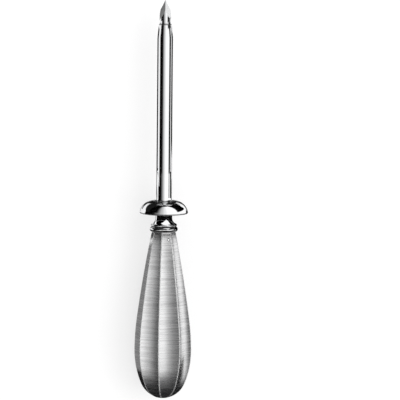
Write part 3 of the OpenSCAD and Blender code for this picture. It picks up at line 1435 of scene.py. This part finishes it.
@dataclass
class Cannula:
    """The sheath tube and the domed shield that is soldered to it.

    The taper's ease says how far inside the tube's radius the skin lies at stations counted from
    the start of the cone. Bands are rings of the mesh that keep its faces short.
    """

    tube_r: float = 2.95
    bore_r: float = 2.2
    root_r: float = 2.75
    taper_l: float = 5.0
    taper_r: float = 2.42
    taper_ease: Pairs = ((-0.4, 0.0), (0.0, 0.01), (0.4, 0.05))
    lip_ease: Pair = (0.3, 0.04)
    solder_r: float = 0.5
    solder_steps: int = 12
    shield_r: float = 9.15
    shield_h: float = 4.4
    shield_wall: float = 0.9
    shield_steps: tuple[int, int, int] = (30, 14, 40)
    hub_r: float = 4.05
    hub_land: float = 0.15
    edge: float = 0.12
    band: float = 2.0
    bands: tuple[float, ...] = (90.0, 105.0, 120.0)
    solder_band: float = 0.15
    looks_in: float = 0.05
    looks_back: float = 0.5
    hub_clear: float = 0.1
    sharp_from: float = 32.0

    def tube(self) -> bpy.types.Object:
        """Turns the tube, with its root, its solder fillet, its coned mouth and its rounded lip.

        Returns:
            The tube.
        """
        cone_start = AT.cannula_end - self.taper_l
        lip_r = (self.taper_r - self.bore_r) / 2
        lip_c: Place = (self.bore_r + lip_r, AT.cannula_end - lip_r)
        fillet_c: Place = (self.tube_r + self.solder_r, AT.shield_top + self.solder_r)
        fillet_end = fillet_c[1]
        straight = (
            fillet_end + self.solder_band, fillet_end + self.band, *self.bands, cone_start - self.band,
        )
        lip_on, lip_out = self.lip_ease
        profile = Profile("cannula_tube_turned", (self.bore_r, AT.seat))
        profile.line_to((self.root_r, AT.seat), (self.root_r, AT.shield_top), (fillet_c[0], AT.shield_top))
        profile.arc(fillet_c, -90, self.solder_steps)
        profile.line_to(*((self.tube_r, station) for station in straight))
        profile.line_to(*((self.tube_r - inwards, cone_start + on) for on, inwards in self.taper_ease))
        profile.line_to((self.taper_r + lip_out, lip_c[1] - lip_on), (self.taper_r, lip_c[1]))
        profile.arc(lip_c, 180, self.solder_steps)
        return profile.line_to((self.bore_r, self.bands[-1]), (self.bore_r, self.bands[0])).close().turned()

    def shield(self) -> bpy.types.Object:
        """Turns the thin domed shield with its hub.

        Returns:
            The shield.
        """
        across = self.shield_r - self.hub_r
        crown_r = (across ** 2 + self.shield_h ** 2) / (2 * self.shield_h)
        crown_c: Place = (self.hub_r, AT.shield_top - crown_r)
        rim_a = math.degrees(math.asin((crown_r - self.shield_h) / crown_r))
        lip_c = polar(crown_c, crown_r - self.shield_wall / 2, rim_a)
        hollow_steps, lip_steps, dome_steps = self.shield_steps
        profile = Profile("shield_spun", (self.root_r, AT.seat))
        profile.line_to((self.hub_r - self.edge, AT.seat))
        profile.arc((self.hub_r - self.edge, AT.seat + self.edge), 90, EDGE_STEPS)
        profile.line_to((self.hub_r, crown_c[1] + crown_r - self.shield_wall))
        profile.arc(crown_c, rim_a - 90, hollow_steps)
        profile.arc(lip_c, 180, lip_steps)
        profile.arc(crown_c, 90 - rim_a, dome_steps)
        profile.line_to((self.hub_r - self.hub_land, AT.shield_top), (self.root_r, AT.shield_top))
        return profile.close().turned()

    def inside_shield(self, face: bpy.types.MeshPolygon) -> bool:
        """Tells the shield's hollow side from its dome.

        Args:
            face: A face of the shield.

        Returns:
            Whether it looks towards the handle, behind the rim's lip.
        """
        radius, _, turn = AT.read(face.center)
        faces_in = face.normal.dot(outwards(turn)) < -self.looks_in or face.normal.y < -self.looks_back
        return faces_in and self.root_r + self.hub_clear < radius < self.shield_r - self.shield_wall

    def make(self, finishes: Finishes) -> list[Made]:
        """Makes the tube and the shield.

        Args:
            finishes: The instrument's materials.

        Returns:
            The two pieces.
        """
        tube, shield = self.tube(), self.shield()
        for piece, materials in (
            (tube, (finishes.tube,)), (shield, (finishes.shield, finishes.shaded_shield_inside)),
        ):
            smooth(piece, self.sharp_from)
            dress(piece, *materials)
        for face in shield.data.polygons:
            face.material_index = int(self.inside_shield(face))
        return [
            Made(tube, Body.CANNULA, Slot.POLISHED, "cannula_tube"),
            Made(shield, Body.CANNULA, Slot.POLISHED, "shield"),
        ]


@dataclass
class Stylet:
    """The piercing rod: three hollow-ground faces, the rod, and the tang in the handle."""

    rod_r: float = 2.15
    socket_l: float = Neck.socket_l
    tang_r: float = 1.5
    tang_chamfer: float = 0.2
    bands: tuple[float, ...] = (100.0, 130.0, 143.0)
    over: float = 0.6
    face_l: float = 6.9
    wheel_r: float = 50.0
    wheel_sides: int = 1440
    point_turn: float = -14.5
    faces: int = 3
    ground_under: float = 0.995
    ground_beyond: float = 0.5
    sharp_from: float = 9.0

    def turned_rod(self) -> bpy.types.Object:
        """Turns the rod and its tang, a little longer than the point will be.

        Returns:
            The rod.
        """
        root, above = AT.seat - self.socket_l, AT.tip + self.over
        chamfer = self.tang_chamfer
        profile = Profile("stylet_ground", (0.0, AT.tang_end))
        profile.line_to((self.tang_r - chamfer, AT.tang_end), (self.tang_r, AT.tang_end + chamfer))
        profile.line_to((self.tang_r, root), (self.rod_r, root))
        profile.line_to(*((self.rod_r, station) for station in (*self.bands, above)), (0.0, above))
        return profile.turned()

    def wheel(self, turn: float) -> bpy.types.Object:
        """The wheel that grinds one face, from the tip to the face's end on the rod.

        Args:
            turn: The turn at the face's middle.

        Returns:
            The wheel.
        """
        chord = math.hypot(self.rod_r, self.face_l)
        off = math.sqrt(self.wheel_r ** 2 - chord ** 2 / 4) / chord
        out = self.rod_r / 2 + off * self.face_l
        on = -self.face_l / 2 + off * self.rod_r
        centre = AT.place(out, AT.tip + on, turn)
        return rod("wheel", self.wheel_r, 4 * self.rod_r, centre, outwards(turn + 90), self.wheel_sides)

    def is_ground(self, face: bpy.types.MeshPolygon) -> bool:
        """Tells the ground faces of the point from the rod.

        Args:
            face: A face of the stylet.

        Returns:
            Whether it is part of the point and tilted from the rod's skin.
        """
        _, station, turn = AT.read(face.center)
        tilted = face.normal.dot(outwards(turn)) < self.ground_under
        return tilted and station > AT.tip - self.face_l - self.ground_beyond

    def make(self, pin: CrossPin, finishes: Finishes) -> list[Made]:
        """Makes the stylet.

        Args:
            pin: The pin whose hole goes through the tang.
            finishes: The instrument's materials.

        Returns:
            The stylet.
        """
        stylet = self.turned_rod()
        for i in range(self.faces):
            cut_away(stylet, self.wheel(self.point_turn + (i + 0.5) * 360 / self.faces))
        cut_away(stylet, pin.drill())
        smooth(stylet, self.sharp_from)
        dress(stylet, finishes.steel, finishes.ground)
        for face in stylet.data.polygons:
            face.material_index = int(self.is_ground(face))
        return [Made(stylet, Body.HANDLE, Slot.STEEL, "stylet")]


@dataclass(frozen=True)
class Card:
    """A flat card or strip that only the metal's reflections see, by its corners in millimetres."""

    name: str
    corners: tuple[Corner, ...]
    tone: float = DARK


@dataclass(frozen=True)
class Screen:
    """A screen bent round the axis that only the metal's reflections see.

    Its paint runs softly from tone to tone round the axis: each entry of tones is a turn in degrees
    and a share of the screen's full brightness. It goes from a radius and a y to another of each, in
    millimetres, so it is a sleeve, or a flat collar where both have one y.
    """

    name: str
    radii: Pair
    reach: Pair
    tones: Pairs
    full: float = 1.15


def flat(name: str, places: Iterable[Place], tone: float = DARK) -> Card:
    """A card on the floor.

    Args:
        name: Its name.
        places: Its corners as x and y.
        tone: Its brightness.

    Returns:
        The card, just above the floor.
    """
    return Card(name, tuple((x, y, CARD_Z) for x, y in places), tone)


def lying(name: str, x: Pair, y: Pair, tone: float = DARK) -> Card:
    """A card on the floor that lies square to the instrument.

    Args:
        name: Its name.
        x: Where it starts and ends across.
        y: Where it starts and ends along.
        tone: Its brightness.

    Returns:
        The card, just above the floor.
    """
    return flat(name, ((x[0], y[0]), (x[1], y[0]), (x[1], y[1]), (x[0], y[1])), tone)


def standing(name: str, start: Place, end: Place, heights: Pair, tone: float = DARK) -> Card:
    """An upright card over a line on the floor.

    Args:
        name: Its name.
        start: The line's start as x and y.
        end: Its end.
        heights: The heights of the card's two level edges.
        tone: Its brightness.

    Returns:
        The card.
    """
    first, last = heights
    return Card(name, ((*start, first), (*end, first), (*end, last), (*start, last)), tone)


@dataclass
class Studio:
    """A pale floor, a pale surround, one large soft lamp, and cards and screens for the reflections.

    Its own distances are in metres, those of its cards and screens in millimetres.
    """

    effects: SharedEffects
    cards: tuple[Card, ...]
    screens: tuple[Screen, ...]
    floor_r: float = 5.0
    floor_sides: int = 96
    floor_tone: float = 0.94
    shadow_kept: float = 0.36
    white_from: Pair = (0.16, 0.5)
    key_azimuth: float = 44.0
    key_lean: float = 6.0
    key_distance: float = 1.25
    key_size: Pair = (1.1, 1.5)
    key_power: float = 5.2
    room_level: float = 1.28
    room_tones: Pairs = (
        (-180, 0.9), (-92, 0.8), (-66, 1.0), (-42, 1.0), (-30, 0.55), (-14, 0.62), (4, 0.85),
        (18, 0.97), (60, 1.0), (72, 0.6), (98, 0.5), (120, 0.9), (180, 0.9),
    )
    screen_steps: int = 64

    def sky(self) -> None:
        """The surround: white to the camera, and pale tones round the axis for the metal."""
        world = bpy.data.worlds.new("surround")
        bpy.context.scene.world = world
        world.use_nodes = True
        bench = Bench(world.node_tree)
        x, _, z = bench.split(bench.add("ShaderNodeTexCoord").outputs["Generated"])
        tones = bench.paint_round(bench.turn_at(x, z), self.room_tones)
        lit, mirrored, white = (
            bench.result("ShaderNodeBackground", shade)
            for shade in ((tones, self.room_level), (tones, 1.0), ((1.0, 1.0, 1.0, 1.0), 1.0))
        )
        room = bench.mix_shaders(bench.seen_by("Glossy", "Transmission"), lit, mirrored)
        whole = bench.mix_shaders(bench.seen_by("Camera"), room, white)
        bench.surface(whole, "ShaderNodeOutputWorld")

    def floor(self) -> None:
        """A pale floor that keeps the shadow near the instrument and turns white further off."""
        deselect_all()
        bpy.ops.mesh.primitive_circle_add(
            vertices=self.floor_sides, radius=self.floor_r, fill_type="NGON"
        )
        floor = bpy.context.object
        name_piece(floor, "floor")
        material, bench = new_material("pale_floor")
        tone = (self.floor_tone, self.floor_tone, self.floor_tone, 1.0)
        paint = bench.result("ShaderNodeBsdfDiffuse", (tone,))
        white = bench.result("ShaderNodeEmission", ())
        length = bench.add("ShaderNodeVectorMath", operation="LENGTH")
        bench.feed(length.inputs[0], bench.add("ShaderNodeTexCoord").outputs["Object"])
        far = bench.span(length.outputs["Value"], *self.white_from, (1.0 - self.shadow_kept, 1.0))
        seen = bench.seen_by("Glossy", "Transmission", "Camera")
        bench.surface(bench.mix_shaders(bench.math("MULTIPLY", seen, far), paint, white))
        dress(floor, material)

    def lamp(self) -> None:
        """The large soft lamp, to the upper right of the view."""
        lamp = bpy.data.lights.new("key", "AREA")
        lamp.shape = "RECTANGLE"
        lamp.size, lamp.size_y = self.key_size
        lamp.energy = self.key_power
        holder = bpy.data.objects.new("key", lamp)
        holder.visible_glossy = False
        away = outwards(self.key_azimuth, self.key_lean)
        stand(holder, away * self.key_distance, *square_to(away), away)

    def card(self, card: Card) -> None:
        """Sets up one flat card.

        Args:
            card: The card.
        """
        deselect_all()
        bpy.ops.mesh.primitive_plane_add(size=1.0)
        panel = bpy.context.object
        first, second, third, fourth = card.corners
        for vertex, corner in zip(panel.data.vertices, (first, second, fourth, third)):
            vertex.co = Vector(corner) * MM
        self.hang(panel, card.name, ((-180.0, card.tone), (180.0, card.tone)), 1.0)

    def screen(self, screen: Screen) -> None:
        """Bends one screen round the axis.

        Args:
            screen: The screen.
        """
        first, last = (y - AT.butt_y / MM for y in screen.reach)
        start, end = screen.tones[0][0], screen.tones[-1][0]
        profile = Profile(screen.name, (screen.radii[0], first), start)
        profile.line_to((screen.radii[1], last))
        bpy.ops.mesh.select_all(action="SELECT")
        bpy.ops.mesh.spin(
            steps=self.screen_steps, angle=-math.radians(end - start), center=AT.place(0.0, 0.0), axis=AXIS
        )
        bpy.ops.object.mode_set(mode="OBJECT")
        self.hang(profile.piece, screen.name, screen.tones, screen.full)

    def hang(self, panel: bpy.types.Object, name: str, tones: Pairs, full: float) -> None:
        """Paints a card or screen, and shows it to the metal's reflections alone.

        Args:
            panel: The card or screen.
            name: Its name.
            tones: Tones at turns round the axis.
            full: The brightness of a tone of one.
        """
        name_piece(panel, name)
        material, bench = new_material(name)
        turn = bench.place_group(self.effects.where).outputs["Turn"]
        bench.surface(bench.result("ShaderNodeEmission", (bench.paint_round(turn, tones), full)))
        dress(panel, material)
        panel.visible_camera = False
        panel.visible_diffuse = False
        panel.visible_shadow = False
        panel.visible_transmission = False

    def build(self) -> None:
        """Sets up the whole studio."""
        self.sky()
        self.floor()
        self.lamp()
        for card in self.cards:
            self.card(card)
        for screen in self.screens:
            self.screen(screen)
        LOG.info("studio: %d cards and %d screens", len(self.cards), len(self.screens))


@dataclass
class ViewPoint:
    """The camera, at the photograph's viewing angle and framing.

    Its scale is in millimetres to the pixel, its clip distances are in metres.
    """

    image: int = 400
    turn: float = -14.5
    lean: float = 6.0
    roll: float = 0.50
    scale: float = 0.38053
    middle_pixel: Pair = (163.95, 199.65)
    lens: float = 400.0
    sensor: float = 36.0
    clip: Pair = (0.05, 30.0)

    def place(self) -> None:
        """Stands the camera so that the instrument's middle falls on its pixel."""
        towards = outwards(self.turn, self.lean)
        right, up = square_to(towards, self.roll)
        middle = AT.place(0.0, AT.tip / 2)
        shown = self.image * self.scale * MM
        offset_x = (self.image / 2 - self.middle_pixel[0]) * self.scale * MM
        offset_y = (self.middle_pixel[1] - self.image / 2) * self.scale * MM
        aim = middle + right * offset_x + up * offset_y
        lens = bpy.data.cameras.new("view")
        lens.lens, lens.sensor_width = self.lens, self.sensor
        lens.clip_start, lens.clip_end = self.clip
        camera = bpy.data.objects.new("view", lens)
        stand(camera, aim + towards * shown * self.lens / self.sensor, right, up, towards)
        bpy.context.scene.camera = camera


CARDS = (
    lying("tube_underlay", (-34, 12), (9.6, 66)),
    lying("tube_foot_left", (-8, -5.8), (1, 9.6)),
    flat("shield_outline_left", ((-11.5, -1.8), (-7.6, 1.2), (-7.8, 5), (-14, -0.2))),
    lying("shield_underlay", (-6, 9), (1, 10)),
    lying("travel_underlay", (-34, 12), (92, 166)),
    lying("neck_foot_left", (-9, -5.2), (-9.5, -4.5)),
    flat("shield_foot_left", ((-9.3, -4.5), (-5, -4.5), (-5, 3.5), (-8, 3.5))),
    flat("shield_foot_right", ((9, -1.5), (20, -1.5), (14.8, 6.5), (9, 6.5))),
    lying("point_underlay", (-9, 24), (68, 92)),
    lying("point_side", (-14, -9), (68, 94), 0.25),
    lying("point_far_side", (-34, -14), (68, 94)),
    lying("neck_floor_right", (6, 36), (-18, -1.5)),
    lying("neck_underlay", (-12, 6), (-15, -12.3)),
    lying("handle_underlay", (-16, 6), (-68, -17), 0.26),
    lying("handle_floor_left", (-32, -15.5), (-68, -9), 0.36),
    lying("handle_floor_far_left", (-305, -32), (-68, -9), 0.12),
    lying("handle_floor_right", (22, 33), (-68, -19), 0.2),
    lying("butt_floor", (-250, 250), (-200, -68), 0.01),
    flat("tube_floor_right", ((12, 14), (110, 40), (110, 64), (12, 64))),
    standing("shield_wall_left", (-8, 10), (-60, 0), (0, 14)),
    standing("travel_end", (-36, 166), (36, 166), (0, 46)),
    Card("tube_glint", ((4.9, 9, 13), (4.9, 66, 13), (5.1, 66, 12), (5.1, 9, 12)), 1.0),
    standing("tube_line", (4.6, 0.5), (4.6, 10.6), (12.9, 10.6)),
    standing("tube_upper_line", (4.6, 0.5), (4.6, 10.6), (15.1, 13.9)),
    standing("tube_edge_light", (-5, 12), (-5, 68), (9.4, 11.8), 1.0),
    Card("tube_foot_light", ((-5, 5, 11.2), (-5, 12, 10.0), (-5, 12, 11.8), (-5, 5, 11.8)), 1.0),
    Card("waist_glint", ((-3.1, -5.1, 13.5), (3.9, -5.1, 12.4), (4.8, -5.1, 23), (3.6, -5.1, 23.6)), 1.15),
    Card("waist_side_glint", (
        (-3.4, -5.1, 7.7), (-4.1, -5.1, 9.4), (-8.7, -5.1, 7.8), (-7.4, -5.1, 5),
    ), 1.15),
    standing("butt_end", (-80, -150), (80, -150), (0, 90), 0.01),
)
TUBE_TONES = (
    (-107, 0.0), (-47, 0.0), (-41, 0.08), (-36, 0.24), (-24, 0.5), (-8, 0.8), (4, 1.0), (47, 1.0), (53, 0.0),
)
ALL_DARK = ((-119, 0.0), (119, 0.0))
SCREENS = (
    Screen("tube_screen", (35, 35), (7, 79), (*TUBE_TONES, (107, 0.0))),
    Screen("travel_screen", (35, 35), (79, 166), (*TUBE_TONES, (98, 0.0))),
    Screen("shield_screen", (35, 35), (-8, 7), (
        (-107, 0.0), (-60, 0.0), (-48, 0.1), (-38, 0.24), (-24, 0.5), (-8, 0.8), (4, 1.0), (107, 1.0),
    )),
    Screen("rod_screen", (14, 14), (66.9, 69.5), (
        (4, 1.0), (22, 1.0), (32, 0.02), (78, 0.02), (84, 0.5), (100, 0.5),
    )),
    Screen("handle_screen", (60, 60), (-96, 0), (
        (-98, 0.13), (-88, 0.12), (-78, 0.3), (-68, 0.55), (-50, 1.0), (-34, 1.0), (-28, 0.14),
        (-14, 0.12), (0, 0.2), (12, 0.45), (24, 1.0), (50, 1.0), (58, 0.1), (76, 0.12), (81, 0.3),
        (86, 0.7), (91, 1.0), (98, 1.0),
    )),
    Screen("butt_screen", (59, 59), (-150, -96), (
        (-98, 0.02), (0, 0.015), (20, 0.08), (50, 0.08), (58, 0.015), (98, 0.015),
    )),
    Screen("bead_screen", (17, 17), (-12.8, -8.4), (
        (-119, 1.0), (-100, 1.0), (-94, 0.0), (-50, 0.0), (-34, 0.6), (-16, 1.0), (60, 1.0),
        (68, 0.0), (119, 0.0),
    )),
    Screen("bead_collar", (9, 5.2), (-12.6, -12.6), ALL_DARK),
    Screen("waist_screen", (16, 16), (-8.6, -4.9), ALL_DARK),
    Screen("waist_collar", (16, 3.3), (-4.9, -4.9), ALL_DARK),
)


def declare(made: Made) -> None:
    """Hangs a piece on its body, hides the solid it replaces and logs its triangles.

    Args:
        made: The finished piece.
    """
    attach(made.piece, made.body.value)
    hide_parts(made.node)
    made.piece.data.calc_loop_triangles()
    LOG.info("%s: %d triangles", made.piece.name, len(made.piece.data.loop_triangles))


def main() -> None:
    """Builds the view, the studio and the instrument."""
    logging.basicConfig(level=logging.INFO, format="%(message)s")
    bpy.context.scene.view_settings.view_transform = "Standard"
    ViewPoint().place()
    effects = SharedEffects()
    Studio(effects, CARDS, SCREENS).build()
    finishes = Finishes(effects)
    shells, pin = HandleShells(), CrossPin()
    pieces = [
        *shells.make(pin, finishes),
        *pin.make(shells, finishes),
        *Neck().make(shells, pin, finishes),
        *Cannula().make(finishes),
        *Stylet().make(pin, finishes),
    ]
    for made in pieces:
        declare(made)


if __name__ == "__main__":
    main()
